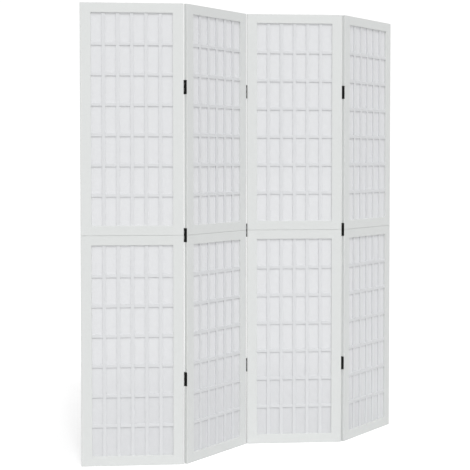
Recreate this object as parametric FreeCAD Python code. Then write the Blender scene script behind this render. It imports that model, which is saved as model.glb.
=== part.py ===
import FreeCAD, Part
import math
import os
from FreeCAD import Vector

# A four-panel folding screen that stands on the floor in a zigzag.
# Each panel is an upper and a lower frame of painted wood, joined end to end by
# dowels. Each frame holds a half-lapped lattice with paper glued behind it. Three
# butt hinges join each panel to the next, on the back and the front by turns.
#
# Screen frame: millimetres, +Z up, +X along the row of panels, front towards -Y.
# The origin is on the floor, in the middle of the standing screen.
# Panel frame: x from the panel's left edge, y from its front face backwards, z from
# the floor.

# Panels
panel_width = 400.0
section_height = 900.0      # one frame; a panel is two of them, one on the other
frame_depth = 14.0
rest_fold = 49.0            # degrees that each panel turns out of its neighbour's plane

# Frame members
stile_width = 42.0
rail_height = 38.0
edge_round = 2.0            # long outer edges of a panel
end_round = 1.0             # top and bottom edges of each section
window_round = 1.0          # front edges round the window
tenon_stop = 24.0           # from the panel's edge to the tip of a rail's tenon
tenon_thickness = 5.0
tenon_shoulder = 9.0        # above and below each tenon
dowel_radius = 3.0
dowel_reach = 30.0          # into each section
wood_clearance = 0.05       # round dowels and screws

# Lattice and paper
columns = 6                 # openings across a window
rows = 7                    # openings up a window
bar_width = 13.0
bar_depth = 5.0
bar_round = 0.6
bar_recess = 3.5            # from the frame's face back to the bars
bar_seat = 4.0              # length of each bar's end that lies in the frame
end_row_extra = 8.0         # the first and last openings are this much taller
paper_thickness = 0.3
paper_lap = 6.0             # paper glued to the frame, all round the window
rebate_spare = 2.0          # from the paper's edge to the rebate's wall

# Hinges
hinge_height = 55.0
hinge_from_top = 323.0      # the top of the screen to the middle of the upper hinge
hinge_from_floor = 334.0    # the floor to the middle of the lower hinge
leaf_thickness = 0.6
leaf_gap = 0.2              # between the two leaves when the panels are in line
leaf_inset = 0.6            # from the leaf's free edge to the face of the wood
leaf_corner = 2.0
knuckles = 5
knuckle_radius = 1.6
knuckle_gap = 0.3           # end to end between knuckles
turning_gap = 0.3           # from a knuckle to the other leaf
pin_radius = 0.9
pin_clearance = 0.05
pin_head_radius = 1.35
pin_head_height = 0.8

# Hinge screws, countersunk in the leaf
screw_inset = 11.0          # from the hinge's end to a screw
screw_length = 12.0
screw_radius = 1.3
screw_head_radius = 2.6
screw_point = 2.5
slot_width = 0.7
slot_depth = 0.5

# Worked out from the sizes above
panel_height = 2 * section_height
window_left = stile_width
window_right = panel_width - stile_width
window_low = rail_height
window_high = section_height - rail_height
bar_front = bar_recess
bar_back = bar_recess + bar_depth
bar_middle = (bar_front + bar_back) / 2
rebate_width = paper_lap + rebate_spare
leaf_offset = leaf_thickness + leaf_gap / 2   # the panel's edge to the pin
pin_offset = knuckle_radius                   # the panel's face to the pin
bore_radius = pin_radius + pin_clearance
half_fold = rest_fold / 2
hinge_middles = (hinge_from_floor, section_height, panel_height - hinge_from_top)
tenon_front = (frame_depth - tenon_thickness) / 2
tenon_back = tenon_front + tenon_thickness
dowel_x = (screw_length + tenon_stop) / 2

up = Vector(0, 0, 1)
sections = {"lower": 0.0, "upper": section_height}


def block(x0, x1, y0, y1, z0, z1):
    return Part.makeBox(x1 - x0, y1 - y0, z1 - z0, Vector(x0, y0, z0))


def near(a, b):
    return abs(a - b) < 1e-6


def eased(solid, radius, wanted):
    """The solid with each edge rounded whose box passes the test wanted(box)."""
    edges = [edge for edge in solid.Edges if wanted(edge.BoundBox)]
    return solid.makeFillet(radius, edges)


def lift(shape, height):
    return shape.translated(Vector(0, 0, height))


def right_for_left(shape):
    """The same shape at the panel's other edge."""
    middle = Vector(panel_width / 2, 0, 0)
    return shape.mirror(middle, Vector(1, 0, 0))


# Lattice

def column_places():
    """Left side of each vertical bar: the openings across are equal."""
    bars = columns - 1
    opening = (window_right - window_left - bars * bar_width) / columns
    return [window_left + opening + i * (opening + bar_width) for i in range(bars)]


def row_places():
    """Low side of each horizontal bar: the end openings are the taller ones."""
    bars = rows - 1
    clear = window_high - window_low - bars * bar_width - 2 * end_row_extra
    opening = clear / rows
    first = window_low + opening + end_row_extra
    return [first + i * (opening + bar_width) for i in range(bars)]


def column_boxes():
    """The whole space of each vertical bar, with its ends in the rails."""
    return [block(left, left + bar_width, bar_front, bar_back, window_low - bar_seat,
                  window_high + bar_seat) for left in column_places()]


def row_boxes():
    """The whole space of each horizontal bar, with its ends in the stiles."""
    return [block(window_left - bar_seat, window_right + bar_seat, bar_front, bar_back,
                  low, low + bar_width) for low in row_places()]


def half_lapped(boxes, crossing, notch_front, notch_back):
    """Bars with rounded front edges, notched to half their depth where others cross."""
    slab = block(0, panel_width, notch_front, notch_back, 0, section_height)
    notches = [box.common(slab) for box in crossing]
    bars = [eased(box, bar_round,
                  lambda b: near(b.YMax, bar_front) and b.DiagonalLength > 2 * bar_width)
            for box in boxes]
    return [bar.cut(notches) for bar in bars]


def vertical_bars():
    return half_lapped(column_boxes(), row_boxes(), bar_middle, bar_back)


def horizontal_bars():
    return half_lapped(row_boxes(), column_boxes(), bar_front, bar_middle)


def paper():
    """The sheet behind one section's lattice, lying in the frame's rebate."""
    return block(window_left - paper_lap, window_right + paper_lap, bar_back,
                 bar_back + paper_thickness, window_low - paper_lap, window_high + paper_lap)


def rebate():
    return block(window_left - rebate_width, window_right + rebate_width, bar_back,
                 frame_depth, window_low - rebate_width, window_high + rebate_width)


# Frame members of one section

def tenons():
    """Every tenon of the section, as boxes: top and bottom rail, left and right."""
    lows = (tenon_shoulder, window_high + tenon_shoulder)
    height = rail_height - 2 * tenon_shoulder
    spans = ((tenon_stop, window_left), (window_right, panel_width - tenon_stop))
    return [block(start, end, tenon_front, tenon_back, low, low + height)
            for low in lows for start, end in spans]


def window_cove():
    """What the rounding takes off the left stile's front edge, along the window."""
    corner = block(window_left - window_round, window_left, 0, window_round,
                   window_low, window_high)
    rod = Part.makeCylinder(window_round, window_high - window_low,
                            Vector(window_left - window_round, window_round, window_low), up)
    return corner.cut(rod)


def left_stile():
    body = block(0, stile_width, 0, frame_depth, 0, section_height)
    body = eased(body, edge_round, lambda b: near(b.XMax, 0) and near(b.ZLength, section_height))
    body = eased(body, end_round, lambda b: b.ZLength < 1e-6 and b.XMin < stile_width - 1e-6)
    return body.cut([window_cove(), rebate()] + tenons() + row_boxes())


def rail(top):
    """A rail between the stiles, with its tenons; its outer edge is the section's end."""
    low = window_high if top else 0.0
    high = low + rail_height
    outer = high if top else low
    inner = low if top else high
    body = block(window_left, window_right, 0, frame_depth, low, high)
    body = eased(body, end_round, lambda b: near(b.ZMin, outer) and b.XLength > 1)
    body = eased(body, window_round,
                 lambda b: near(b.ZMax, inner) and near(b.YMax, 0) and b.XLength > 1)
    own_tenons = [tenon for tenon in tenons() if low < tenon.CenterOfMass.z < high]
    body = body.fuse(own_tenons).removeSplitter()
    return body.cut([rebate()] + column_boxes())


# Fastenings, in the panel's frame

def dowel(extra=0.0):
    """The left stile's dowel at the seam; extra makes it the hole for one."""
    return Part.makeCylinder(dowel_radius + extra, 2 * (dowel_reach + extra),
                             Vector(dowel_x, frame_depth / 2,
                                    section_height - dowel_reach - extra), up)


def screw(height, extra=0.0):
    """A screw through the left leaf at this height; extra makes it the hole for one."""
    head = screw_head_radius + extra
    shank = screw_radius + extra
    start = -leaf_thickness
    neck = start + head - shank
    tip = screw_length + extra
    outline = [Vector(start, 0, 0), Vector(start, head, 0), Vector(neck, shank, 0),
               Vector(tip - screw_point, shank, 0), Vector(tip, 0, 0), Vector(start, 0, 0)]
    solid = Part.Face(Part.makePolygon(outline)).revolve(Vector(0, 0, 0), Vector(1, 0, 0), 360)
    if not extra:
        solid = solid.cut(block(start, start + slot_depth, -screw_head_radius,
                                screw_head_radius, -slot_width / 2, slot_width / 2))
    return solid.translated(Vector(0, frame_depth / 2, height))


def screw_heights():
    offset = hinge_height / 2 - screw_inset
    return [middle + way * offset for middle in hinge_middles for way in (-1, 1)]


# Hinges, at the panel's left edge with the pin behind the back face

def knuckle_spans(outer):
    """Heights of one leaf's knuckles from the hinge's foot; outer has the end ones."""
    length = (hinge_height - (knuckles - 1) * knuckle_gap) / knuckles
    first = 0 if outer else 1
    starts = [i * (length + knuckle_gap) for i in range(first, knuckles, 2)]
    return [(start, start + length) for start in starts]


def leaf(outer):
    """One leaf with its knuckles and screw holes, its foot at z = 0."""
    pin_x = -leaf_offset
    pin_y = frame_depth + pin_offset
    plate_end = pin_y - knuckle_radius - turning_gap
    tab_end = pin_y - (knuckle_radius + bore_radius) / 2
    plate = block(-leaf_thickness, 0, leaf_inset, plate_end, 0, hinge_height)
    plate = eased(plate, leaf_corner, lambda b: near(b.YMax, leaf_inset) and b.ZLength < 1e-6)
    pieces = []
    bores = []
    for low, high in knuckle_spans(outer):
        foot = Vector(pin_x, pin_y, low)
        pieces.append(block(-leaf_thickness, 0, plate_end, tab_end, low, high))
        pieces.append(Part.makeCylinder(knuckle_radius, high - low, foot, up))
        bores.append(Part.makeCylinder(bore_radius, high - low, foot, up))
    solid = plate.fuse(pieces).cut(bores).removeSplitter()
    holes = [screw(inset, wood_clearance)
             for inset in (screw_inset, hinge_height - screw_inset)]
    return solid.cut(holes)


def pin():
    """A hinge pin with a head on each end, its shank's foot at z = 0."""
    foot = Vector(-leaf_offset, frame_depth + pin_offset, 0)
    top = foot + Vector(0, 0, hinge_height)
    shank = Part.makeCylinder(pin_radius, hinge_height, foot, up)
    heads = []
    for seat, way in ((foot, -1), (top, 1)):
        head = Part.makeCone(pin_head_radius, pin_radius, pin_head_height, seat, up * way)
        heads.append(head)
    return shank.fuse(heads).removeSplitter()


def pin_in_front(shape):
    """The hinge piece turned over, so that its pin stands before the front face."""
    return shape.mirror(Vector(0, frame_depth / 2, 0), Vector(0, 1, 0))


def on_hinges(shape):
    """A copy of the hinge piece at each of an edge's three hinges."""
    return [lift(shape, middle - hinge_height / 2) for middle in hinge_middles]


# The panels' places in the standing screen

def turned(x, y, degrees):
    angle = math.radians(degrees)
    return (x * math.cos(angle) - y * math.sin(angle),
            x * math.sin(angle) + y * math.cos(angle))


def pin_place(panel, side):
    """A panel's pin, in the panel's frame: behind at joints 1 and 3, before at 2."""
    joint = panel if side == "right" else panel - 1
    x = panel_width + leaf_offset if side == "right" else -leaf_offset
    y = -pin_offset if joint == 2 else frame_depth + pin_offset
    return x, y


def heading(panel):
    return half_fold if panel % 2 == 0 else -half_fold


def panel_starts():
    """Each panel's front left corner on the floor, with the screen centred."""
    starts = {1: (0.0, 0.0)}
    for panel in (2, 3, 4):
        old_x, old_y = turned(*pin_place(panel - 1, "right"), heading(panel - 1))
        new_x, new_y = turned(*pin_place(panel, "left"), heading(panel))
        x, y = starts[panel - 1]
        starts[panel] = (x + old_x - new_x, y + old_y - new_y)
    corners = []
    for panel, (x, y) in starts.items():
        for along in (0, panel_width):
            for back in (0, frame_depth):
                dx, dy = turned(along, back, heading(panel))
                corners.append((x + dx, y + dy))
    middle_x, middle_y = [(min(c) + max(c)) / 2 for c in zip(*corners)]
    return {panel: (x - middle_x, y - middle_y) for panel, (x, y) in starts.items()}


starts = panel_starts()


def placed(shapes, panel):
    """The shapes as one compound, moved from the panel's frame to the screen's."""
    x, y = starts[panel]
    place = FreeCAD.Placement(Vector(x, y, 0), FreeCAD.Rotation(up, heading(panel)))
    compound = Part.makeCompound(shapes)
    compound.Placement = place
    return compound


def frame_nodes(panel, edges_with_hinges):
    """The panel's stiles and rails, bored for its dowels and its hinge screws."""
    holes = {"left": [dowel(wood_clearance)], "right": [right_for_left(dowel(wood_clearance))]}
    if "left" in edges_with_hinges:
        holes["left"] += [screw(z, wood_clearance) for z in screw_heights()]
    if "right" in edges_with_hinges:
        holes["right"] += [right_for_left(screw(z, wood_clearance)) for z in screw_heights()]
    stiles = {"left": left_stile(), "right": right_for_left(left_stile())}
    rails = {"top": rail(True), "bottom": rail(False)}
    nodes = {}
    for section, base in sections.items():
        for side, solid in stiles.items():
            name = f"panel_{panel}_{section}_{side}_stile"
            nodes[name] = lift(solid, base).cut(holes[side])
        for end, solid in rails.items():
            nodes[f"panel_{panel}_{section}_{end}_rail"] = lift(solid, base)
    return nodes


def panel_nodes(panel):
    """Every node of one panel, in the panel's frame, as lists of solids."""
    edges = [side for side, last in (("left", 1), ("right", 4)) if panel != last]
    nodes = {name: [solid] for name, solid in frame_nodes(panel, edges).items()}
    bases = sections.values()
    nodes[f"panel_{panel}_vertical_bars"] = [
        lift(bar, base) for base in bases for bar in vertical_bars()]
    nodes[f"panel_{panel}_horizontal_bars"] = [
        lift(bar, base) for base in bases for bar in horizontal_bars()]
    nodes[f"panel_{panel}_paper"] = [lift(paper(), base) for base in bases]
    nodes[f"panel_{panel}_dowels"] = [dowel(), right_for_left(dowel())]
    screws = []
    pins = []
    for side in edges:
        joint = panel if side == "right" else panel - 1
        carries_pin = panel == (2 if joint < 3 else 3)
        leaves = on_hinges(leaf(carries_pin))
        side_screws = [screw(z) for z in screw_heights()]
        side_pins = on_hinges(pin()) if carries_pin else []
        if joint == 2:
            leaves = [pin_in_front(shape) for shape in leaves]
            side_pins = [pin_in_front(shape) for shape in side_pins]
        if side == "right":
            leaves = [right_for_left(shape) for shape in leaves]
            side_screws = [right_for_left(shape) for shape in side_screws]
            side_pins = [right_for_left(shape) for shape in side_pins]
        leaf_side = "left" if side == "right" else "right"
        nodes[f"joint_{joint}_{leaf_side}_leaves"] = leaves
        screws += side_screws
        pins += side_pins
    nodes[f"panel_{panel}_hinge_screws"] = screws
    if pins:
        nodes[f"panel_{panel}_hinge_pins"] = pins
    return nodes


def main():
    os.makedirs("parts", exist_ok=True)
    for panel in (1, 2, 3, 4):
        for name, shapes in panel_nodes(panel).items():
            node = placed(shapes, panel)
            bad = [solid for solid in node.Solids if not solid.isValid()]
            print(name, len(node.Solids), "solids", len(bad), "not valid")
            node.exportStep(f"parts/{name}.step")
    for joint, parent in ((1, 2), (2, 2), (3, 3)):
        side = "left" if joint == 1 else "right"
        dx, dy = turned(*pin_place(parent, side), heading(parent))
        x, y = starts[parent]
        print(f"fold_{joint} pin at x {x + dx:.3f} y {y + dy:.3f}")
    for panel, (x, y) in starts.items():
        dx, dy = turned(panel_width / 2, frame_depth / 2, heading(panel))
        print(f"panel {panel} middle at x {x + dx:.3f} y {y + dy:.3f}")


main()
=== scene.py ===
import bmesh
import bpy
import math
import numpy as np
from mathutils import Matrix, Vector


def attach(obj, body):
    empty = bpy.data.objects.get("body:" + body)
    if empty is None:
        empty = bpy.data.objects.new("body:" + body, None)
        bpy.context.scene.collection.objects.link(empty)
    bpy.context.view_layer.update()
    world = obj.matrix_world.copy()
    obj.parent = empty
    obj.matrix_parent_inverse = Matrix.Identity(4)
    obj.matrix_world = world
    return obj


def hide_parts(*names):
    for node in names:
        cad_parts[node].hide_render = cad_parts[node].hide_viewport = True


# Four panels of white lattice and paper, hinged edge to edge in a zigzag, in metres. In a
# panel's own frame x runs from its left edge, y back from its front face, z up from the floor.

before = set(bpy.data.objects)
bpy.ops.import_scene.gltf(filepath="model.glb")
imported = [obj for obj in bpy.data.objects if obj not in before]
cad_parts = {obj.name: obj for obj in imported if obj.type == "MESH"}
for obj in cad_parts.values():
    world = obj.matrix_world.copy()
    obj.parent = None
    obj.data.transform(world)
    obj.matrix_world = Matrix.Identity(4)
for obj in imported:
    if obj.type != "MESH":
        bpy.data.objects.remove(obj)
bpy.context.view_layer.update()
print("frame loaded:", len(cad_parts), "nodes")

mm = 0.001
white = (1.0, 1.0, 1.0, 1.0)

screenValues = {
    "panels": (1, 2, 3, 4),
    "fold": 49.0,  # degrees that each panel turns out of its neighbour's plane
    "sections": {"lower": 0.0, "upper": 0.9},  # height of each section's foot
}
panels = screenValues["panels"]
joints = panels[:-1]  # each one has the number of the panel on its left
sections = screenValues["sections"]


# Where the pieces go

def nodePoints(name):
    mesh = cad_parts[name].data
    flat = np.empty(len(mesh.vertices) * 3, np.float32)
    mesh.vertices.foreach_get("co", flat)
    return flat.reshape(-1, 3).astype(float)


def heading(panel):
    half = math.radians(screenValues["fold"] / 2)
    return half if panel % 2 == 0 else -half


# turned about Z by a: x cos a - y sin a, x sin a + y cos a
def turned(points, a):
    x, y, z = np.asarray(points, float).T
    return np.stack([x * math.cos(a) - y * math.sin(a), x * math.sin(a) + y * math.cos(a), z], 1)


def inPanel(name, panel):
    return turned(nodePoints(name), -heading(panel))


panelStart = {n: inPanel(f"panel_{n}_lower_left_stile", n).min(axis=0) for n in panels}


def localBox(name, panel):
    points = inPanel(name, panel) - panelStart[panel]
    return points.min(axis=0), points.max(axis=0)


def toScreen(points, panel):
    return turned(points + panelStart[panel], heading(panel))


stileLow, stileHigh = localBox("panel_1_lower_left_stile", 1)
railLow, railHigh = localBox("panel_1_lower_bottom_rail", 1)
rightHigh = localBox("panel_1_lower_right_stile", 1)[1]
paperLow, paperHigh = localBox("panel_1_paper", 1)

panelWidth = rightHigh[0]
panelDepth = stileHigh[1]
sectionHeight = stileHigh[2]
windowLeft = stileHigh[0]
windowRight = panelWidth - windowLeft
windowLow = railHigh[2]
windowHigh = sectionHeight - windowLow


# Meshes

# right-angled outline with rounded corners: at corner C, reached along d1 and left along d2,
# the arc is C - r d1 + r d2 + r (d1 sin t - d2 cos t), t from 0 to 90 degrees, with one more
# point a guard's length out on either side, which keeps the flats flat when shaded smooth
def roundedOutline(corners, radii, guard, steps=3):
    corners = np.asarray(corners, float)
    radius, guard = [np.broadcast_to(one, len(corners))[:, None, None] for one in (radii, guard)]
    into = corners - np.roll(corners, 1, axis=0)
    into /= np.linalg.norm(into, axis=1, keepdims=True)
    out = np.roll(into, -1, axis=0)
    into, out, at = into[:, None], out[:, None], corners[:, None]
    t = np.linspace(0, math.pi / 2, steps + 1)[None, :, None]
    arc = at + radius * (out - into + into * np.sin(t) - out * np.cos(t))
    before = at - (radius + guard) * into
    after = at + (radius + guard) * out
    points = np.concatenate([before, arc, after], axis=1)
    onArc = np.zeros(points.shape[:2])
    onArc[:, 1:-1] = 1
    return points.reshape(-1, 2), onArc.ravel()


# a closed profile carried along a member: ring k is joined to ring k + 1 by quads, and the
# first and last rings are closed by one face each
def carriedFaces(stations, around):
    k, j = np.meshgrid(np.arange(stations - 1), np.arange(around), indexing="ij")
    beside = (j + 1) % around
    quads = np.stack([k * around + j, k * around + beside,
                      (k + 1) * around + beside, (k + 1) * around + j], -1)
    last = (stations - 1) * around
    ends = [list(range(around - 1, -1, -1)), list(range(last, last + around))]
    return quads.reshape(-1, 4).tolist() + ends


# points and faces of several parts, as one mesh's
def gathered(parts):
    allPoints, allFaces, first = [], [], 0
    for points, faces in parts:
        allPoints.append(points)
        allFaces += [[first + i for i in face] for face in faces]
        first += len(points)
    return np.concatenate(allPoints), allFaces


# three coordinates, brought to one shape, as a list of points
def pointsFrom(x, y, z):
    return np.stack(np.broadcast_arrays(x, y, z), 2).reshape(-1, 3)


# a grid of points with a quad in each cell that is kept
def gridFaces(keep):
    across = keep.shape[1] + 1
    k, j = np.nonzero(keep)
    at = k * across + j
    return np.stack([at, at + 1, at + across + 1, at + across], 1)


# the points round a block of a grid's cells, from its first corner
def blockLoop(low, high, left, right, across):
    along, up = np.arange(left, right), np.arange(low, high)
    return np.concatenate([low * across + along, up * across + right, high * across + along[::-1] + 1,
                           (up[::-1] + 1) * across + left])


# quads between two closed loops of points
def bandFaces(one, other):
    return np.stack([one, np.roll(one, -1), np.roll(other, -1), other], 1)


def makeMesh(name, points, faces, closed, sharpAngle):
    mesh = bpy.data.meshes.new(name)
    mesh.from_pydata(points.tolist(), [], faces)
    if closed:
        build = bmesh.new()
        build.from_mesh(mesh)
        bmesh.ops.recalc_face_normals(build, faces=build.faces)
        build.to_mesh(mesh)
        build.free()
    mesh.shade_smooth()
    mesh.set_sharp_from_angle(angle=math.radians(sharpAngle))
    return mesh


def addObject(name, data):
    made = bpy.data.objects.new(name, data)
    bpy.context.scene.collection.objects.link(made)
    return made


# layers hold one value or vector for each point
def addPiece(name, panel, points, faces, layers, node, material, slotName, closed=True, sharpAngle=35):
    mesh = makeMesh(name, toScreen(points, panel), faces, closed, sharpAngle)
    for layer, values in layers.items():
        kind, field = ("FLOAT_VECTOR", "vector") if values.ndim == 2 else ("FLOAT", "value")
        attribute = mesh.attributes.new(layer, kind, "POINT")
        attribute.data.foreach_set(field, values.astype(np.float32).ravel())
    mesh.materials.append(material)
    piece = addObject(name, mesh)
    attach(piece, f"panel_{panel}")
    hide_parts(node)
    return piece


# Shader nodes

def emptyTree(owner):
    owner.use_nodes = True
    owner.node_tree.nodes.clear()
    return owner.node_tree


# each input takes another node's socket or a plain value
def feedNode(tree, node, inputs):
    for key, value in inputs.items():
        if isinstance(value, bpy.types.NodeSocket):
            tree.links.new(value, node.inputs[key])
        else:
            node.inputs[key].default_value = value


def addNode(tree, kind, inputs=None, **settings):
    node = tree.nodes.new("ShaderNode" + kind)
    for key, value in settings.items():
        setattr(node, key, value)
    feedNode(tree, node, inputs or {})
    return node


def newGroup(name, inputs, outputs):
    tree = bpy.data.node_groups.new(name, "ShaderNodeTree")
    for socket, value in inputs.items():
        kind = "NodeSocketVector" if value is None else "NodeSocketFloat"
        made = tree.interface.new_socket(name=socket, in_out="INPUT", socket_type=kind)
        if value is not None:
            made.default_value = value
    for socket in outputs:
        tree.interface.new_socket(name=socket, in_out="OUTPUT", socket_type="NodeSocketFloat")
    return tree, tree.nodes.new("NodeGroupInput").outputs, tree.nodes.new("NodeGroupOutput")


def placeGroup(tree, group, inputs):
    return addNode(tree, "Group", inputs, node_tree=group).outputs


def maths(tree, operation, a, b=0.0, clamp=False):
    return addNode(tree, "Math", {0: a, 1: b}, operation=operation, use_clamp=clamp).outputs[0]


def times(tree, a, b):
    return maths(tree, "MULTIPLY", a, b)


def between(tree, value, low, high, toLow=0.0, toHigh=1.0):
    inputs = {"Value": value, "From Min": low, "From Max": high, "To Min": toLow, "To Max": toHigh}
    return addNode(tree, "MapRange", inputs).outputs["Result"]


def mixColour(tree, share, a, b):
    a, b = [(*colour, 1.0) if isinstance(colour, tuple) else colour for colour in (a, b)]
    return addNode(tree, "Mix", {"Factor": share, 6: a, 7: b}, data_type="RGBA").outputs[2]


def mixShader(tree, share, a, b):
    return addNode(tree, "MixShader", {0: share, 1: a.outputs[0], 2: b.outputs[0]})


# heights are in metres, so the node's own strength and distance are one
def bumpNormal(tree, height, under=None):
    inputs = {"Height": height, "Strength": 1.0, "Distance": 1.0}
    if under is not None:
        inputs["Normal"] = under
    return addNode(tree, "Bump", inputs).outputs[0]


effectValues = {
    "noise": {  # detail, roughness and distortion
        "streaks": (4.0, 0.62, 0.35),
        "patches": (3.0, 0.55, 0.0),
        "edgeWear": (5.0, 0.7, 0.0),
        "dust": (4.0, 0.5, 0.0),
        "fibres": (1.0, 0.5, 1.2),
        "cloud": (5.0, 0.6, 0.0),
    },
    "spread": (0.3, 0.7),        # part of the noise that streaks and cloud are stretched from
    "dustSpread": (0.35, 0.75),
    "ledge": (0.5, 1.0),         # upward part of the normal over which dust comes in
    "wearRise": 3.0,
    "fibreSets": ((0.35, 0.16), (1.6, 0.2), (2.55, 0.13)),  # heading and squeeze of each
    "cloudScale": 38.0,
}


def noiseShare(tree, kind, vector, scale):
    detail, roughness, distortion = effectValues["noise"][kind]
    inputs = {"Vector": vector, "Scale": scale, "Detail": detail, "Roughness": roughness,
              "Distortion": distortion}
    return addNode(tree, "TexNoise", inputs).outputs["Fac"]


# streaks along a member: noise on coordinates squeezed along z, so that it is long that way
def makeStreaks():
    tree, given, result = newGroup("streaks", {"Vector": None, "Across": 400.0, "Along": 8.0}, ["Streaks"])
    squeeze = addNode(tree, "CombineXYZ",
                      {"X": given["Across"], "Y": given["Across"], "Z": given["Along"]}).outputs[0]
    place = addNode(tree, "VectorMath", {0: given["Vector"], 1: squeeze}, operation="MULTIPLY")
    noise = noiseShare(tree, "streaks", place.outputs[0], 1.0)
    feedNode(tree, result, {"Streaks": between(tree, noise, *effectValues["spread"])})
    return tree


# cloudy patches of one size, as where a roller left more or less paint
def makePatches():
    tree, given, result = newGroup("patches", {"Vector": None, "Scale": 20.0, "Low": 0.35, "High": 0.65},
                                   ["Patches"])
    noise = noiseShare(tree, "patches", given["Vector"], given["Scale"])
    feedNode(tree, result, {"Patches": between(tree, noise, given["Low"], given["High"])})
    return tree


# wear on the rounded edges: the arris value of the mesh, broken up by noise
def makeEdgeWear():
    tree, given, result = newGroup("edgeWear", {"Arris": 0.0, "Vector": None, "Scale": 60.0,
                                                "Reach": 0.5}, ["Wear"])
    noise = noiseShare(tree, "edgeWear", given["Vector"], given["Scale"])
    threshold = maths(tree, "SUBTRACT", 1.0, given["Reach"])
    cut = between(tree, noise, threshold, 1.0, 0.0, effectValues["wearRise"])
    feedNode(tree, result, {"Wear": maths(tree, "MULTIPLY", given["Arris"], cut, clamp=True)})
    return tree


# dust that has settled: the share of a face that looks up, times soft noise
def makeDust():
    own = effectValues
    tree, given, result = newGroup("dust", {"Vector": None, "Scale": 90.0, "Amount": 0.2}, ["Dust"])
    normal = addNode(tree, "NewGeometry").outputs["Normal"]
    upward = addNode(tree, "SeparateXYZ", {0: normal}).outputs["Z"]
    noise = noiseShare(tree, "dust", given["Vector"], given["Scale"])
    cover = times(tree, between(tree, upward, *own["ledge"]), between(tree, noise, *own["dustSpread"]))
    feedNode(tree, result, {"Dust": times(tree, cover, given["Amount"])})
    return tree


# long paper fibres: thin ridges where stretched noise is near its middle, at three headings
def makeFibres():
    own = effectValues
    tree, given, result = newGroup("fibres", {"Vector": None, "Scale": 160.0, "Thin": 0.012},
                                   ["Fibres", "Cloud"])
    total = None
    for turn, squeeze in own["fibreSets"]:
        place = addNode(tree, "Mapping", {"Vector": given["Vector"], "Rotation": (0, turn, 0),
                                                    "Scale": (1.0, 1.0, squeeze)})
        noise = noiseShare(tree, "fibres", place.outputs[0], given["Scale"])
        away = maths(tree, "ABSOLUTE", maths(tree, "SUBTRACT", noise, 0.5))
        ridge = between(tree, away, given["Thin"], 0.0)
        total = ridge if total is None else maths(tree, "MAXIMUM", total, ridge)
    cloud = noiseShare(tree, "cloud", given["Vector"], own["cloudScale"])
    feedNode(tree, result, {"Fibres": total, "Cloud": between(tree, cloud, *own["spread"])})
    return tree


streaks = makeStreaks()
patches = makePatches()
edgeWear = makeEdgeWear()
dust = makeDust()
fibres = makeFibres()


def startMaterial(name, slotColour):
    material = bpy.data.materials.new(name)
    material.diffuse_color = (*slotColour, 1.0)
    tree = emptyTree(material)
    shader = addNode(tree, "BsdfPrincipled")
    output = addNode(tree, "OutputMaterial", {"Surface": shader.outputs[0]})
    return material, tree, shader, output


def readLayer(tree, layer, output):
    return addNode(tree, "Attribute", attribute_name=layer).outputs[output]


def placeWear(tree, place, own):
    inputs = {"Arris": readLayer(tree, "arris", "Fac"), "Vector": place, "Scale": own["wearScale"],
              "Reach": own["wearReach"]}
    return placeGroup(tree, edgeWear, inputs)["Wear"]


paintValues = {
    "frame": {"colour": (0.716, 0.731, 0.724), "thin": (0.64, 0.635, 0.6), "roughness": 0.42,
              "grainAcross": 330.0, "grainAlong": 7.0, "grainDepth": 0.05 * mm,
              "brushAcross": 1500.0, "brushAlong": 18.0, "brushDepth": 0.012 * mm},
    "lattice": {"colour": (0.705, 0.713, 0.727), "thin": (0.64, 0.632, 0.605), "roughness": 0.45,
                "grainAcross": 620.0, "grainAlong": 9.0, "grainDepth": 0.035 * mm,
                "brushAcross": 2100.0, "brushAlong": 26.0, "brushDepth": 0.009 * mm},
    "both": {"darkest": 0.965, "lightest": 1.012,  # times the colour
             "grainShare": 0.3, "rollerShare": 0.22, "toneShare": 0.5, "wearShare": 0.3,
             "rollerScale": 14.0, "rollerRough": 0.1, "wearScale": 45.0, "wearReach": 0.55,
             "wearRough": 0.12, "dustAmount": 0.1, "dustColour": (0.6, 0.585, 0.55), "shine": 0.4},
}


# satin paint over wood: the grain as a faint relief, finer brush lines on it, thinner paint on
# the arrises and a little dust on the ledges
def makePaint(kind):
    own = {**paintValues["both"], **paintValues[kind]}
    material, tree, shader, output = startMaterial(kind + "Paint", own["colour"])
    place = readLayer(tree, "grain", "Vector")
    grain, brush = [placeGroup(tree, streaks, {"Vector": place, "Across": own[lines + "Across"],
                                               "Along": own[lines + "Along"]})["Streaks"]
                    for lines in ("grain", "brush")]
    roller = placeGroup(tree, patches, {"Vector": place, "Scale": own["rollerScale"]})["Patches"]
    wear = placeWear(tree, place, own)
    settled = placeGroup(tree, dust, {"Vector": place, "Amount": own["dustAmount"]})["Dust"]
    dark, colour = [tuple(own[end] * c for c in own["colour"]) for end in ("darkest", "lightest")]
    for mask, share, other in ((grain, "grainShare", dark), (roller, "rollerShare", dark),
                               (readLayer(tree, "tone", "Fac"), "toneShare", dark),
                               (wear, "wearShare", own["thin"])):
        colour = mixColour(tree, times(tree, mask, own[share]), colour, other)
    colour = mixColour(tree, settled, colour, own["dustColour"])
    smoothest = own["roughness"] - own["rollerRough"] / 2
    rough = maths(tree, "ADD", smoothest, times(tree, roller, own["rollerRough"]))
    rough = maths(tree, "ADD", rough, times(tree, wear, own["wearRough"]))
    relief = bumpNormal(tree, times(tree, grain, own["grainDepth"]))
    finer = bumpNormal(tree, times(tree, brush, own["brushDepth"]), relief)
    feedNode(tree, shader, {"Base Color": colour, "Roughness": rough, "Normal": finer,
                            "Specular IOR Level": own["shine"]})
    return material


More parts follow.
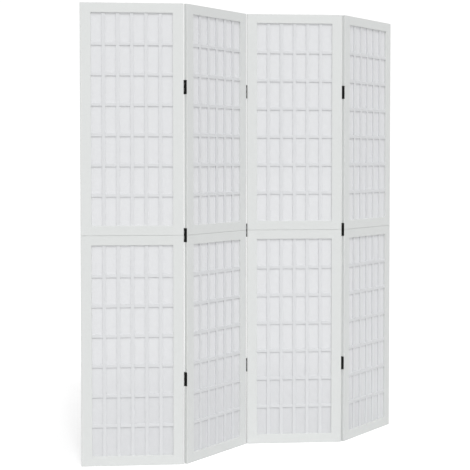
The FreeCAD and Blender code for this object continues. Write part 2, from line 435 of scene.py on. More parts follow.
paperValues = {
    "colour": (0.723, 0.731, 0.748),
    "fibreColour": (0.769, 0.774, 0.789),
    "thinColour": (0.690, 0.700, 0.718),
    "fibreShare": 0.45,
    "cloudShare": 0.35,
    "fibreDepth": 0.03 * mm,
    "cloudDepth": 0.05 * mm,
    "throughLight": 0.15,  # of the light on a face, the share that leaves by the other one
    "seenThrough": 0.15,   # share of what lies behind that shows straight through
    "roughness": 0.85,
    "shine": 0.2,
}


# white long-fibre paper: pale fibres over a cloudy ground, with light and a little of what
# stands behind it coming through
def makePaper():
    own = paperValues
    material, tree, shader, output = startMaterial("whitePaper", own["colour"])
    made = placeGroup(tree, fibres, {"Vector": readLayer(tree, "grain", "Vector")})
    fibre, cloud = made["Fibres"], made["Cloud"]
    colour = mixColour(tree, times(tree, cloud, own["cloudShare"]), own["colour"], own["thinColour"])
    colour = mixColour(tree, times(tree, fibre, own["fibreShare"]), colour, own["fibreColour"])
    height = maths(tree, "ADD", times(tree, fibre, own["fibreDepth"]), times(tree, cloud, own["cloudDepth"]))
    normal = bumpNormal(tree, height)
    feedNode(tree, shader, {"Base Color": colour, "Roughness": own["roughness"],
                            "Specular IOR Level": own["shine"], "Normal": normal})
    through = addNode(tree, "BsdfTranslucent", {"Color": colour, "Normal": normal})
    glow = mixShader(tree, own["throughLight"], shader, through)
    clear = addNode(tree, "BsdfTransparent", {"Color": white})
    seen = mixShader(tree, own["seenThrough"], glow, clear)
    feedNode(tree, output, {"Surface": seen.outputs[0]})
    return material


metalValues = {
    "colour": (0.011, 0.012, 0.011),
    "worn": (0.09, 0.088, 0.085),
    "roughness": {"blackCoat": 0.38, "blackScrewCoat": 0.32},
    "rubbed": {"Scale": 260.0, "Low": 0.62, "High": 0.78},
    "rubbedShare": 0.25,
    "speckle": {"Scale": 1800.0},
    "speckleRough": 0.12,
    "speckleDepth": 0.02 * mm,
    "wearScale": 420.0,
    "wearReach": 0.58,
    "wearShare": 0.55,
    "wearSmooth": 0.08,
}


# satin black coating on steel, rubbed to a dull grey on its edges
def makeBlack(name):
    own = metalValues
    material, tree, shader, output = startMaterial(name, own["colour"])
    place = addNode(tree, "TexCoord").outputs["Object"]
    rubbed, speckle = [placeGroup(tree, patches, {"Vector": place, **own[kind]})["Patches"]
                       for kind in ("rubbed", "speckle")]
    wear = placeWear(tree, place, own)
    colour = mixColour(tree, times(tree, rubbed, own["rubbedShare"]), own["colour"], own["worn"])
    colour = mixColour(tree, times(tree, wear, own["wearShare"]), colour, own["worn"])
    rough = maths(tree, "ADD", own["roughness"][name], times(tree, speckle, own["speckleRough"]))
    rough = maths(tree, "SUBTRACT", rough, times(tree, wear, own["wearSmooth"]))
    normal = bumpNormal(tree, times(tree, speckle, own["speckleDepth"]))
    feedNode(tree, shader, {"Base Color": colour, "Roughness": rough, "Normal": normal})
    return material


woodValues = {
    "colour": (0.62, 0.47, 0.3),
    "pale": (0.66, 0.51, 0.33),
    "dark": (0.52, 0.38, 0.23),
    "across": 900.0,
    "along": 20.0,
    "roughness": 0.6,
}


# plain turned hardwood, for the dowels
def makeDowelWood():
    own = woodValues
    material, tree, shader, output = startMaterial("dowelWood", own["colour"])
    place = addNode(tree, "TexCoord").outputs["Object"]
    grain = placeGroup(tree, streaks, {"Vector": place, "Across": own["across"], "Along": own["along"]})
    colour = mixColour(tree, grain["Streaks"], own["pale"], own["dark"])
    feedNode(tree, shader, {"Base Color": colour, "Roughness": own["roughness"]})
    return material


framePaint = makePaint("frame")
latticePaint = makePaint("lattice")
whitePaper = makePaper()
blackCoat = makeBlack("blackCoat")
blackScrew = makeBlack("blackScrewCoat")
dowelWood = makeDowelWood()
print("materials made")


# Stiles and rails

memberValues = {
    "edgeRound": 2.0 * mm,    # long outer edges of a panel
    "endRound": 1.0 * mm,     # top and bottom of each section
    "windowRound": 1.0 * mm,  # front edge round the window
    "seamGap": 0.45 * mm,     # each section stands this far short of the other one,
    "seamDepth": 2.2 * mm,    # for this far in from its faces
    "jointEase": 0.12 * mm,   # hairline where a rail meets a stile
    "backEase": 0.3 * mm,
    "paperDepth": 8.5 * mm,   # from the front face to the rebate's floor
    "rebateWidth": 8.0 * mm,
    "stationStep": 60.0 * mm,
    "step": 0.05 * mm,        # length of the wall where a section changes
    "guard": 0.4 * mm,
    "grooveRound": 0.03 * mm,
    "stileFlat": 0.5 * mm,    # from a stile's rounded end to its first plain ring
    "railFlat": 0.6 * mm,
    "insetShare": 0.9,        # of a ring's inset, what its outer rounding loses
    "roundingFrom": 0.2 * mm,  # before the window, where its rounding starts
    "roundingRun": ((0.3 * mm, 0.6), (1.0 * mm, 1.0)),  # past it, and the share that is in
}
rng = np.random.default_rng(41)


# quarter-round end: at angle p the ring is drawn in by r (1 - sin p) at height r (1 - cos p);
# at the seam it starts from a step as large as the open joint there
def endStations(atSeam, steps=4):
    own = memberValues
    gap = own["seamGap"] if atSeam else 0.0
    radius = own["endRound"] - gap
    p = np.linspace(0, math.pi / 2, steps)
    curve = list(zip(gap + radius * (1 - np.cos(p)), radius * (1 - np.sin(p))))
    step = [(0.0, own["seamDepth"]), (gap, own["seamDepth"])] if atSeam else []
    return step + curve


# rings along a section of a stile, each with its height, how far it is drawn in, the rounding
# at the window and 1 where it is rebated: the ends, the rebate's walls, then even steps
def stileStations(section):
    own = memberValues
    ease = own["jointEase"]
    rebateLow = windowLow - own["rebateWidth"]
    inner = [(own["endRound"] + own["stileFlat"], 0.0, ease, 0.0),
             (rebateLow - own["step"], 0.0, ease, 0.0),
             (rebateLow, 0.0, ease, 1.0),
             (windowLow - own["roundingFrom"], 0.0, ease, 1.0)]
    inner += [(windowLow + run, 0.0, share * own["windowRound"], 1.0) for run, share in own["roundingRun"]]
    low, high = [[(z, inset, ease, 0.0) for z, inset in endStations(atSeam)] + inner
                 for atSeam in (section == "upper", section == "lower")]
    count = int((sectionHeight - 2 * windowLow) / own["stationStep"])
    middle = np.linspace(windowLow, windowHigh, count + 1)[1:-1]
    other = [(sectionHeight - z, *rest) for z, *rest in reversed(high)]
    return low + [(z, 0.0, own["windowRound"], 1.0) for z in middle] + other


# left stile: outline x across and y back, with the rebate at the window side
def stileRing(inset, windowRound, rebated):
    own = memberValues
    wall = windowLeft - own["rebateWidth"]
    deep = panelDepth - inset
    floor = own["paperDepth"]
    turn = (wall, floor) if rebated else (windowLeft, deep)
    corners = [(inset, inset), (windowLeft, inset), (windowLeft, floor), turn, (wall, deep), (inset, deep)]
    back = own["backEase"]
    outer = max(own["edgeRound"] - own["insetShare"] * inset, back)
    return roundedOutline(corners, [outer, windowRound, back, back, back, outer], own["guard"])


def stackedRings(rings):
    return [np.stack(part) for part in zip(*rings)]


def grainOffset():
    return rng.uniform(0, 9, 3)


# the right stile is the left one with x measured from the panel's other edge
def makeStile(panel, section, side):
    stations = stileStations(section)
    heights, insets = np.array(stations)[:, :2].T[..., None]
    outline, mask = stackedRings(stileRing(*station[1:]) for station in stations)
    across = panelWidth - outline[..., 0] if side == "right" else outline[..., 0]
    points = pointsFrom(across, outline[..., 1], heights + sections[section])
    finishMember(f"panel_{panel}_{section}_{side}_stile", panel, points, np.maximum(mask, insets > 0),
                 (0, 1, 2))


# bottom rail: outline z up and y back, carried along x; the top rail is the same one with z
# measured from the section's top
def makeRail(panel, section, end):
    own = memberValues
    ease = own["jointEase"]
    wall = windowLow - own["rebateWidth"]
    floor = own["paperDepth"]
    xs = [(windowLeft, ease), (windowLeft + ease, 0.0), (windowLeft + own["railFlat"], 0.0)]
    count = int((windowRight - windowLeft) / own["stationStep"])
    middle = [(x, 0.0) for x in np.linspace(windowLeft, windowRight, count + 1)[1:-1]]
    stations = xs + middle + [(panelWidth - x, inset) for x, inset in reversed(xs)]
    atSeam = (section == "lower") == (end == "top")
    gap = own["seamGap"] if atSeam else 0.0
    groove, outside = own["seamDepth"], own["endRound"] - gap
    rings = []
    for x, inset in stations:
        deep = panelDepth - inset
        corners = [(inset, inset), (windowLow, inset), (windowLow, floor), (wall, floor), (wall, deep),
                   (inset, deep)]
        radii = [outside, own["windowRound"], *[own["backEase"]] * 3, outside]
        guards = [own["guard"]] * 6
        if atSeam:
            corners[0], corners[-1] = (gap, inset), (gap, deep)
            corners += [(gap, deep - groove), (0.0, deep - groove), (0.0, groove), (gap, groove)]
            radii += [own["grooveRound"]] * 4
            guards += [own["grooveRound"]] * 4
        rings.append(roundedOutline(corners, radii, guards))
    outline, arris = stackedRings(rings)
    along = np.array([x for x, inset in stations])[:, None]
    heights = sectionHeight - outline[..., 0] if end == "top" else outline[..., 0]
    points = pointsFrom(along, outline[..., 1], heights + sections[section])
    finishMember(f"panel_{panel}_{section}_{end}_rail", panel, points, arris, (2, 1, 0))


# each member has its own stretch of grain and its own tone
def woodLayers(points, arris):
    return {"grain": points + grainOffset(), "arris": arris.ravel(),
            "tone": np.full(len(points), rng.uniform(0, 1))}


def finishMember(node, panel, points, arris, grainAxes):
    addPiece("painted_" + node, panel, points, carriedFaces(*arris.shape),
             woodLayers(points[:, grainAxes], arris), node, framePaint, "painted_frame")


for panel in panels:
    for section in sections:
        for side in ("left", "right"):
            makeStile(panel, section, side)
        for end in ("bottom", "top"):
            makeRail(panel, section, end)
print("stiles and rails made")


# Lattice

latticeValues = {
    "columns": 6,
    "rows": 7,
    "barWidth": 13.0 * mm,
    "barFront": 3.5 * mm,    # from the frame's face back to the bars
    "barBack": 8.5 * mm,
    "barRound": 0.6 * mm,
    "backEase": 0.15 * mm,
    "notchSlack": 0.1 * mm,  # at each side of a half-lap
    "barSeat": 4.0 * mm,     # of each end that lies in the frame
    "endRowExtra": 8.0 * mm,
    "bow": 0.12 * mm,        # how far a bar may stand out of true between its joints
    "bowFrom": 30.0 * mm,    # shortest run that bows
    "guard": 0.3 * mm,
}


# low side of each bar: equal openings, but the first and the last are larger by the extra
def barPlaces(low, high, openings, extra):
    width = latticeValues["barWidth"]
    opening = (high - low - (openings - 1) * width - 2 * extra) / openings
    return low + opening + extra + np.arange(openings - 1) * (opening + width)


columnsAt = barPlaces(windowLeft, windowRight, latticeValues["columns"], 0.0)
rowsAt = barPlaces(windowLow, windowHigh, latticeValues["rows"], latticeValues["endRowExtra"])


# one bar: at a crossing its front or its back is cut to half depth, and between crossings it
# stands out of true by a bow that is nought at each joint
def barPart(start, end, side, crossings, frontCut, seed):
    own = latticeValues
    local = np.random.default_rng(seed)
    middle = (own["barFront"] + own["barBack"]) / 2
    slack, step = own["notchSlack"], memberValues["step"]
    stations = [(start, 0)]
    for low in crossings:
        high = low + own["barWidth"]
        stations += [(low - slack - step, 0), (low - slack, 1), (high + slack, 1), (high + slack + step, 0)]
    stations.append((end, 0))
    filled = []
    for (a, cut), b in zip(stations, [at for at, cut in stations[1:]]):
        filled.append((a, cut, 0.0))
        if b - a > own["bowFrom"]:
            bow = local.uniform(-1, 1) * own["bow"]
            filled += [(a + (b - a) * s, 0, bow * math.sin(math.pi * s)) for s in (0.2, 0.5, 0.8)]
    filled.append((*stations[-1], 0.0))
    rings = []
    for at, cut, bow in filled:
        front = middle if cut and frontCut else own["barFront"]
        back = middle if cut and not frontCut else own["barBack"]
        corners = [(side + bow, front), (side + own["barWidth"] + bow, front),
                   (side + own["barWidth"] + bow, back), (side + bow, back)]
        frontRound = own["backEase"] if cut and frontCut else own["barRound"]
        radii = [frontRound, frontRound, own["backEase"], own["backEase"]]
        rings.append(roundedOutline(corners, radii, own["guard"]))
    outline, arris = stackedRings(rings)
    along = np.array([at for at, cut, bow in filled])[:, None]
    return pointsFrom(outline[..., 0], outline[..., 1], along), arris


# all bars of one heading in a panel, as one piece
def makeBars(panel, way):
    own = latticeValues
    upright = way == "vertical"
    sides, crossings = (columnsAt, rowsAt) if upright else (rowsAt, columnsAt)
    low, high = (windowLow, windowHigh) if upright else (windowLeft, windowRight)
    parts, layers = [], []
    for base in sections.values():
        for i, side in enumerate(sides):
            seed = int(panel * 1000 + upright * 500 + base * 100 + i)
            points, arris = barPart(low - own["barSeat"], high + own["barSeat"], side, crossings,
                                    not upright, seed)
            layers.append(woodLayers(points, arris))
            points = points if upright else points[:, [2, 1, 0]]
            parts.append((points + [0, 0, base], carriedFaces(*arris.shape)))
    layers = {layer: np.concatenate([one[layer] for one in layers]) for layer in layers[0]}
    node = f"panel_{panel}_{way}_bars"
    return addPiece("painted_" + node, panel, *gathered(parts), layers, node, latticePaint,
                    "painted_lattice")


for panel in panels:
    makeBars(panel, "vertical")
    makeBars(panel, "horizontal")
print("lattices made")


# Paper

sheetValues = {
    "thickness": 0.3 * mm,
    "slack": 0.35 * mm,    # most that the paper stands out of plane in an opening
    "ripple": 0.12 * mm,   # finer waves on that
    "rippleLength": (22, 60),  # millimetres
    "ripplePhase": 6.3,
    "rippleSum": 1.7,      # what the sum of the waves is divided by
    "edgePower": 0.7,
    "perOpening": (8, 14),
    "perBar": 2,
}


# breaks along one side of the sheet: a few steps over each opening and each bar
def sheetBreaks(low, high, bars, opening):
    width = latticeValues["barWidth"]
    edges = [low] + [edge for bar in bars for edge in (bar, bar + width)] + [high]
    spans = []
    for i, (a, b) in enumerate(zip(edges, edges[1:])):
        steps = opening if i % 2 == 0 else sheetValues["perBar"]
        spans.append(np.linspace(a, b, steps + 1)[:-1])
    return np.concatenate(spans + [[high]])


# 0 on the wood that carries the paper and up to 1 in the middle of an opening: the sine of
# the way across it, to a power
def openness(values, low, high, bars):
    width = latticeValues["barWidth"]
    starts = np.concatenate([[low], bars + width])
    ends = np.concatenate([bars, [high]])
    which = np.clip(np.searchsorted(starts, values, side="right") - 1, 0, len(starts) - 1)
    share = (values - starts[which]) / (ends[which] - starts[which])
    inside = (share > 0) & (share < 1)
    lift = np.sin(math.pi * np.clip(share, 0, 1)) ** sheetValues["edgePower"]
    return np.where(inside, lift, 0.0), which


# the sheet's depth y over x and z: the bars' back face, plus in each opening its own slack
# and three slanting sine waves, drawn in to nought at its edges
def makeSheet(panel, section):
    own = sheetValues
    base = sections[section]
    local = np.random.default_rng(900 + panel * 10 + int(base > 0))
    left, right = paperLow[0], paperHigh[0]
    low = paperLow[2]
    high = sectionHeight - low
    xs = sheetBreaks(left, right, columnsAt, own["perOpening"][0])
    zs = sheetBreaks(low, high, rowsAt, own["perOpening"][1])
    openX, column = openness(xs, windowLeft, windowRight, columnsAt)
    openZ, row = openness(zs, windowLow, windowHigh, rowsAt)
    slack = local.uniform(-1, 1, (latticeValues["rows"], latticeValues["columns"])) * own["slack"]
    gridX, gridZ = np.meshgrid(xs, zs)
    wave = np.zeros_like(gridX)
    for turn in local.uniform(0, math.pi, 3):
        length = local.uniform(*own["rippleLength"]) * mm
        wave += np.sin(2 * math.pi * (gridX * math.cos(turn) + gridZ * math.sin(turn)) / length
                       + local.uniform(0, own["ripplePhase"]))
    lift = slack[row][:, column] + own["ripple"] * wave / own["rippleSum"]
    lift = lift * openZ[:, None] * openX[None, :]
    depth = latticeValues["barBack"] + own["thickness"] / 2 + lift
    points = pointsFrom(gridX, depth, gridZ + base)
    faces = gridFaces(np.ones((len(zs) - 1, len(xs) - 1))).tolist()
    piece = addPiece(f"paper_sheet_{panel}_{section}", panel, points, faces,
                     {"grain": points + grainOffset()}, f"panel_{panel}_paper", whitePaper, "paper",
                     closed=False, sharpAngle=80)


for panel in panels:
    for section in sections:
        makeSheet(panel, section)
print("paper sheets made")


# Hinges

hingeValues = {
    "height": 55.0 * mm,
    "fromTop": 323.0 * mm,
    "fromFloor": 334.0 * mm,
    "sheet": 0.6 * mm,        # thickness of a leaf
    "sheetGap": 0.2 * mm,     # between the leaves when the panels are in line
    "inset": 0.6 * mm,        # from a leaf's free edge to the face of the wood
    "corner": 2.0 * mm,
    "knuckles": 5,
    "knuckleRadius": 1.6 * mm,
    "knuckleGap": 0.3 * mm,
    "bendStart": 0.6 * mm,    # before the wood's back face, where a leaf starts to bend
    "rollFrom": -30.0,        # degrees round the pin where the bend meets the barrel
    "rollTo": 262.0,          # and where the rolled end of the leaf stops
    "rim": 0.25 * mm,         # width of the rubbed band along each edge
    "bevel": 0.09 * mm,
    "pinRadius": 0.9 * mm,
    "pinHeadRadius": 1.35 * mm,
    "pinHeadHeight": 0.8 * mm,
    "screwInset": 11.0 * mm,  # from the hinge's end to a screw
    "screwSeat": 4.0 * mm,    # half the square that is drawn round a screw
    "screwHole": 2.66 * mm,
    "screwHead": 2.6 * mm,
    "screwShank": 1.3 * mm,
    "screwLength": 12.0 * mm,
    "screwPoint": 2.5 * mm,
    "slotWidth": 0.7 * mm,
    "slotDepth": 0.45 * mm,
    "pinHeadRim": 0.2 * mm,
    "bendReach": (0.55 * mm, 0.45 * mm),  # how far the bend keeps to its first and last heading
    "bendLine": 1.4 * mm,
    "edgeLines": (0.0, 0.25, 0.8, 1.4, 2.0, 4.5),  # millimetres in from an edge
}
pinAt = (-hingeValues["sheet"] - hingeValues["sheetGap"] / 2, panelDepth + hingeValues["knuckleRadius"])


# hinge pieces are worked out for a left edge with the pin behind; at a right edge x is
# measured from that edge, and at the middle joint y from the back face
def atHinge(points, side, joint, foot):
    points = points + [0, 0, foot]
    if side == "right":
        points[:, 0] = panelWidth - points[:, 0]
    if joint == 2:
        points[:, 1] = panelDepth - points[:, 1]
    return points


def hingeFeet():
    own = hingeValues
    top = max(sections.values()) + sectionHeight
    return [middle - own["height"] / 2 for middle in (own["fromFloor"], sectionHeight, top - own["fromTop"])]


def knuckleSpans(outer):
    own = hingeValues
    length = (own["height"] - (own["knuckles"] - 1) * own["knuckleGap"]) / own["knuckles"]
    starts = np.arange(0 if outer else 1, own["knuckles"], 2) * (length + own["knuckleGap"])
    return [(start, start + length) for start in starts]


def seatLines():
    return np.arange(-4, 5) * hingeValues["screwSeat"] / 4


def screwHeights():
    return hingeValues["screwInset"], hingeValues["height"] - hingeValues["screwInset"]


# middle line of a leaf's sheet: straight up the edge, then a Bezier bend P0 (1-s)^3 +
# 3 P1 s (1-s)^2 + 3 P2 s^2 (1-s) + P3 s^3, then round the pin at radius r - t / 2
def leafLine():
    own = hingeValues
    flatX = -own["sheet"] / 2
    start = panelDepth - own["bendStart"]
    seat = seatLines() + panelDepth / 2
    near = own["inset"] + np.array(own["edgeLines"]) * mm
    flat = np.concatenate([near[near < seat[0]], seat, [start - own["bendLine"], start - own["rim"], start]])
    radius = own["knuckleRadius"] - own["sheet"] / 2
    turn = np.radians(np.linspace(own["rollFrom"], own["rollTo"], 21))
    roll = np.array(pinAt) + radius * np.stack([np.cos(turn), np.sin(turn)], 1)
    tangent = np.array([-math.sin(turn[0]), math.cos(turn[0])])
    p0, p3 = np.array([flatX, start]), roll[0]
    p1, p2 = p0 + [0, own["bendReach"][0]], p3 - own["bendReach"][1] * tangent
    s = np.linspace(0, 1, 6)[1:-1, None]
    bend = p0 * (1 - s) ** 3 + 3 * p1 * s * (1 - s) ** 2 + 3 * p2 * s ** 2 * (1 - s) + p3 * s ** 3
    straight = np.stack([np.full(len(flat), flatX), flat], 1)
    return np.concatenate([straight, bend, roll]), len(flat) - 1


# heights of the sheet's lines: its corners, the squares round its screws, and each knuckle's
# ends and rims
def leafHeights():
    own = hingeValues
    rim = own["rim"]
    low = np.array(own["edgeLines"]) * mm
    seats = [screwZ + seatLines() for screwZ in screwHeights()]
    spans = knuckleSpans(True) + knuckleSpans(False)
    edges = [edge for a, b in spans for edge in (a, b, a + rim, b - rim)]
    every = np.concatenate([low, own["height"] - low, *seats, edges, [own["height"] / 2]])
    return np.unique(np.round(every, 7))


# a corner's square is pressed to a quarter disc: each point's offset from the corner's centre
# is scaled by its larger side over its length
def roundCorner(y, z, centreY, centreZ, wayZ):
    dy, dz = np.minimum(y - centreY, 0), np.minimum((z - centreZ) * wayZ, 0)
    inside = (dy < 0) & (dz < 0)
    length = np.hypot(dy, dz) + (~inside)
    share = np.where(inside, np.maximum(-dy, -dz) / length, 1.0)
    return np.where(inside, centreY + dy * share, y), np.where(inside, centreZ + wayZ * dz * share, z)


def nearest(values, wanted):
    return int(np.argmin(abs(values - wanted)))


# a leaf as one sheet over its middle line and its height, with no cells between its knuckles
# and rings that lead from a square round each screw to the round hole
def leafSheet(outer):
    own = hingeValues
    line, bendFrom = leafLine()
    heights = leafHeights()
    columns, rows = len(line), len(heights)
    z, y = np.meshgrid(heights, line[:, 1], indexing="ij")
    for centreZ, wayZ in ((own["corner"], 1), (own["height"] - own["corner"], -1)):
        y, z = roundCorner(y, z, own["inset"] + own["corner"], centreZ, wayZ)
    points = pointsFrom(line[:, 0], y, z)

    middles = (heights[:-1] + heights[1:]) / 2
    inSpan, strictly = [np.any([(at > a + 1e-6) & (at < b - 1e-6) for a, b in knuckleSpans(outer)], axis=0)
                        for at in (middles, heights)]
    keep = np.ones((rows - 1, columns - 1), bool)
    keep[:, bendFrom:] = inSpan[:, None]
    rubbed = np.zeros((rows, columns))
    rubbed[[0, -1], :] = 1
    rubbed[:, [0, -1]] = 1
    rubbed[~strictly, bendFrom:] = 1

    seat = own["screwSeat"]
    left, right = [nearest(line[:bendFrom, 1], panelDepth / 2 + side) for side in (-seat, seat)]
    rings, ringFaces, count = [], [], len(points)
    for screwZ in screwHeights():
        low, high = [nearest(heights, screwZ + side) for side in (-seat, seat)]
        keep[low:high, left:right] = False
        loop = blockLoop(low, high, left, right, columns)
        centre = np.array([panelDepth / 2, screwZ])
        offset = points[loop][:, 1:] - centre
        offset /= np.linalg.norm(offset, axis=1, keepdims=True)
        before = loop
        for radius in (own["screwHole"] + own["rim"], own["screwHole"]):
            rings.append(np.column_stack([np.full(len(loop), line[0, 0]), centre + radius * offset]))
            here = count + np.arange(len(loop))
            ringFaces.append(bandFaces(before, here))
            before, count = here, count + len(loop)
    faces = np.concatenate([gridFaces(keep)] + ringFaces)
    worn = np.concatenate([rubbed.ravel()] + [np.full(len(ring), i % 2.0) for i, ring in enumerate(rings)])
    used, faces = np.unique(faces, return_inverse=True)
    return np.concatenate([points] + rings)[used], faces.reshape(-1, 4), worn[used]


# surface of revolution about z: ring k has radius r_k at height z_k, and the ends are poles
def lathed(profile, around=20):
    radius, place = np.array(profile).T
    turn = np.linspace(0, 2 * math.pi, around, endpoint=False)
    middle = radius[1:-1, None]
    rings = pointsFrom(middle * np.cos(turn), middle * np.sin(turn), place[1:-1, None])
    points = np.concatenate([[[0, 0, place[0]]], rings, [[0, 0, place[-1]]]])
    faces = [[1 + i for i in face] for face in carriedFaces(len(radius) - 2, around)[:-2]]
    last, pole = 1 + (len(radius) - 3) * around, len(points) - 1
    for i in range(around):
        after = (i + 1) % around
        faces += [[0, 1 + after, 1 + i], [pole, last + i, last + after]]
    return points, faces


# the pin: a shank with a head on each end, a low rim and a quarter ellipse over it
def pinShell():
    own = hingeValues
    t = np.radians(np.linspace(90, 0, 6))
    rim = own["pinHeadRim"]
    dome = np.stack([own["pinHeadRadius"] * np.cos(t), rim + (own["pinHeadHeight"] - rim) * np.sin(t)], 1)
    head = np.concatenate([dome, [[own["pinHeadRadius"], 0.0], [own["pinRadius"], 0.0]]])
    low = head * [1, -1]
    high = head[::-1] + [0, own["height"]]
    points, faces = lathed(np.concatenate([low, high]))
    return points + [*pinAt, 0], faces


# a screw: its head's flat is a grid of lines z = R sin a and points y = s sqrt(R^2 - z^2) on
# each, with the slot's two lines doubled at its floor, where R is smaller by the slot's depth
# because the head is a cone; its edge leads to the neck and the tip
def screwShell(turn):
    own = hingeValues
    head, deep, half = own["screwHead"], own["slotDepth"], own["slotWidth"] / 2
    sides = head * np.sin(np.radians([-78, -58, -40, -24]))
    lines = [(z, head, 0.0) for z in sides] + [(-half, head, 0.0), (-half, head - deep, deep)]
    lines += [(-z, reach, depth) for z, reach, depth in reversed(lines)]
    z, reach, depth = np.array(lines).T
    s = np.linspace(-1, 1, 7)
    across = np.sqrt(reach ** 2 - z ** 2)[:, None] * s
    points = pointsFrom(depth[:, None], across, z[:, None])
    rows, columns = across.shape
    faces = gridFaces(np.ones((rows - 1, columns - 1)))[:, ::-1].tolist()
    loop = blockLoop(0, rows - 1, 0, columns - 1, columns)
    angle = np.arctan2(points[loop, 2], points[loop, 1])
    shank = own["screwShank"]
    count, before = len(points), loop
    for place in (head - shank, own["screwLength"] - own["screwPoint"]):
        ring = np.column_stack([np.full(len(loop), place), shank * np.cos(angle), shank * np.sin(angle)])
        here = count + np.arange(len(loop))
        faces += bandFaces(before, here).tolist()
        points = np.concatenate([points, ring])
        before, count = here, count + len(loop)
    points = np.concatenate([points, [[own["screwLength"], 0, 0]]])
    faces += [[a, b, count] for a, b in zip(before, np.roll(before, -1))]
    c, d = math.cos(turn), math.sin(turn)
    x, y, z = points.T
    return np.stack([x - own["sheet"], y * c - z * d + panelDepth / 2, y * d + z * c], 1), faces


def makeLeaves(joint, panel, side):
    own = hingeValues
    outer = panel == (2 if joint < 3 else 3)
    points, faces, worn = leafSheet(outer)
    parts = [(atHinge(points, side, joint, foot), faces.tolist()) for foot in hingeFeet()]
    node = f"joint_{joint}_{'left' if side == 'right' else 'right'}_leaves"
    piece = addPiece("black_" + node, panel, *gathered(parts), {"arris": np.tile(worn, 3)}, node,
                     blackCoat, "black_hinges", closed=False, sharpAngle=50)
    sheet = piece.modifiers.new("sheet", "SOLIDIFY")
    sheet.thickness = own["sheet"]
    sheet.offset = 0.0
    sheet.use_even_offset = True
    ease = piece.modifiers.new("ease", "BEVEL")
    ease.width = own["bevel"]
    ease.segments = 2
    ease.limit_method = "ANGLE"
    ease.angle_limit = math.radians(50)
    ease.harden_normals = True


def makePins(panel, held):
    points, faces = pinShell()
    parts = [(atHinge(points, "left" if joint < panel else "right", joint, foot), faces)
             for joint in held for foot in hingeFeet()]
    node = f"panel_{panel}_hinge_pins"
    addPiece("black_" + node, panel, *gathered(parts), {}, node, blackCoat, "black_hinges")


def makeScrews(panel):
    parts = []
    for joint, side in ((panel - 1, "left"), (panel, "right")):
        for foot in hingeFeet() if joint in joints else ():
            for screwZ in screwHeights():
                points, faces = screwShell(rng.uniform(0, math.pi))
                parts.append((atHinge(points, side, joint, foot + screwZ), faces))
    node = f"panel_{panel}_hinge_screws"
    addPiece("black_" + node, panel, *gathered(parts), {}, node, blackScrew, "black_screws")


for joint in joints:
    makeLeaves(joint, joint, "right")
    makeLeaves(joint, joint + 1, "left")
makePins(2, (1, 2))
makePins(3, (3,))
for panel in panels:
    makeScrews(panel)
print("hinges made")


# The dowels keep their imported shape

for name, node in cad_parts.items():
    if name.endswith("_dowels"):
        node.data.materials.clear()
        node.data.materials.append(dowelWood)


# Stage, light and camera

stageValues = {
    "floorReach": 60.0,
    "floorDrop": 0.3 * mm,
    "floorColour": (0.7, 0.7, 0.7),
    "floorSeen": (0.95, 0.95, 0.95),
    "floorGlow": 0.25,         # added for camera rays, so that the lit floor shows white
    "lamps": {
        "keyLight": {"from": (-0.2904, -0.6841, 0.6691), "strength": 1.17, "angle": 14.0},
        "fillLight": {"from": (0.0984, -0.7002, 0.7071), "strength": 0.825, "angle": 60.0},
    },
    "skyStrength": 0.484,
    "skyLean": (-0.42, 0.0, 0.0),  # the sky is this much brighter on the left than the middle
    "whiteSeen": 1.06,
}


def seesStage(tree):
    path = addNode(tree, "LightPath").outputs
    either = maths(tree, "MAXIMUM", path["Is Camera Ray"], path["Is Glossy Ray"])
    return maths(tree, "MAXIMUM", either, path["Is Transmission Ray"])


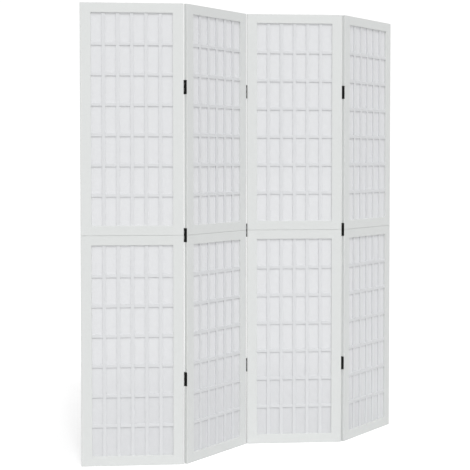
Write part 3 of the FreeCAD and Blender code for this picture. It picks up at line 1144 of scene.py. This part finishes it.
def makeFloor():
    own = stageValues
    reach = own["floorReach"]
    z = -own["floorDrop"]
    mesh = bpy.data.meshes.new("studioFloor")
    mesh.from_pydata([(-reach, -reach, z), (reach, -reach, z), (reach, reach, z), (-reach, reach, z)], [],
                     [(0, 1, 2, 3)])
    floor = addObject("studioFloor", mesh)
    material = bpy.data.materials.new("studioFloor")
    tree = emptyTree(material)
    lit = addNode(tree, "BsdfDiffuse", {"Color": (*own["floorColour"], 1.0)})
    shown = addNode(tree, "BsdfDiffuse", {"Color": (*own["floorSeen"], 1.0)})
    glow = addNode(tree, "Emission", {"Color": white, "Strength": own["floorGlow"]})
    bright = addNode(tree, "AddShader", {0: shown.outputs[0], 1: glow.outputs[0]})
    pick = mixShader(tree, seesStage(tree), lit, bright)
    addNode(tree, "OutputMaterial", {"Surface": pick.outputs[0]})
    mesh.materials.append(material)


def makeWorld():
    own = stageValues
    world = bpy.data.worlds.new("studioWhite")
    bpy.context.scene.world = world
    tree = emptyTree(world)
    outward = addNode(tree, "TexCoord").outputs["Generated"]
    lean = addNode(tree, "VectorMath", {0: outward, 1: own["skyLean"]}, operation="DOT_PRODUCT")
    lit = times(tree, maths(tree, "ADD", lean.outputs["Value"], 1.0), own["skyStrength"])
    strength = between(tree, seesStage(tree), 0.0, 1.0, lit, own["whiteSeen"])
    sky = addNode(tree, "Background", {"Color": white, "Strength": strength})
    addNode(tree, "OutputWorld", {"Surface": sky.outputs[0]})


def makeLamp(name):
    own = stageValues["lamps"][name]
    data = bpy.data.lights.new(name, "SUN")
    data.energy = own["strength"]
    data.angle = math.radians(own["angle"])
    lamp = addObject(name, data)
    lamp.rotation_euler = Vector(own["from"]).to_track_quat("Z", "Y").to_euler()


# before the left panels, looking back and a little down
cameraValues = {
    "place": (-2.4537, -4.1518, 1.2),
    "heading": 29.551,
    "pitch": 1.912,
    "sensor": 36.0,
    "lens": 89.703,
    "shift": -0.08,
}


def makeCamera():
    own = cameraValues
    data = bpy.data.cameras.new("photoCamera")
    data.sensor_width = own["sensor"]
    data.lens = own["lens"]
    data.shift_y = own["shift"]
    camera = addObject("photoCamera", data)
    camera.location = own["place"]
    camera.rotation_euler = (math.radians(90 - own["pitch"]), 0, math.radians(-own["heading"]))
    bpy.context.scene.camera = camera


makeFloor()
makeWorld()
for name in stageValues["lamps"]:
    makeLamp(name)
makeCamera()
bpy.context.scene.view_settings.view_transform = "Standard"
print("stage, light and camera made")
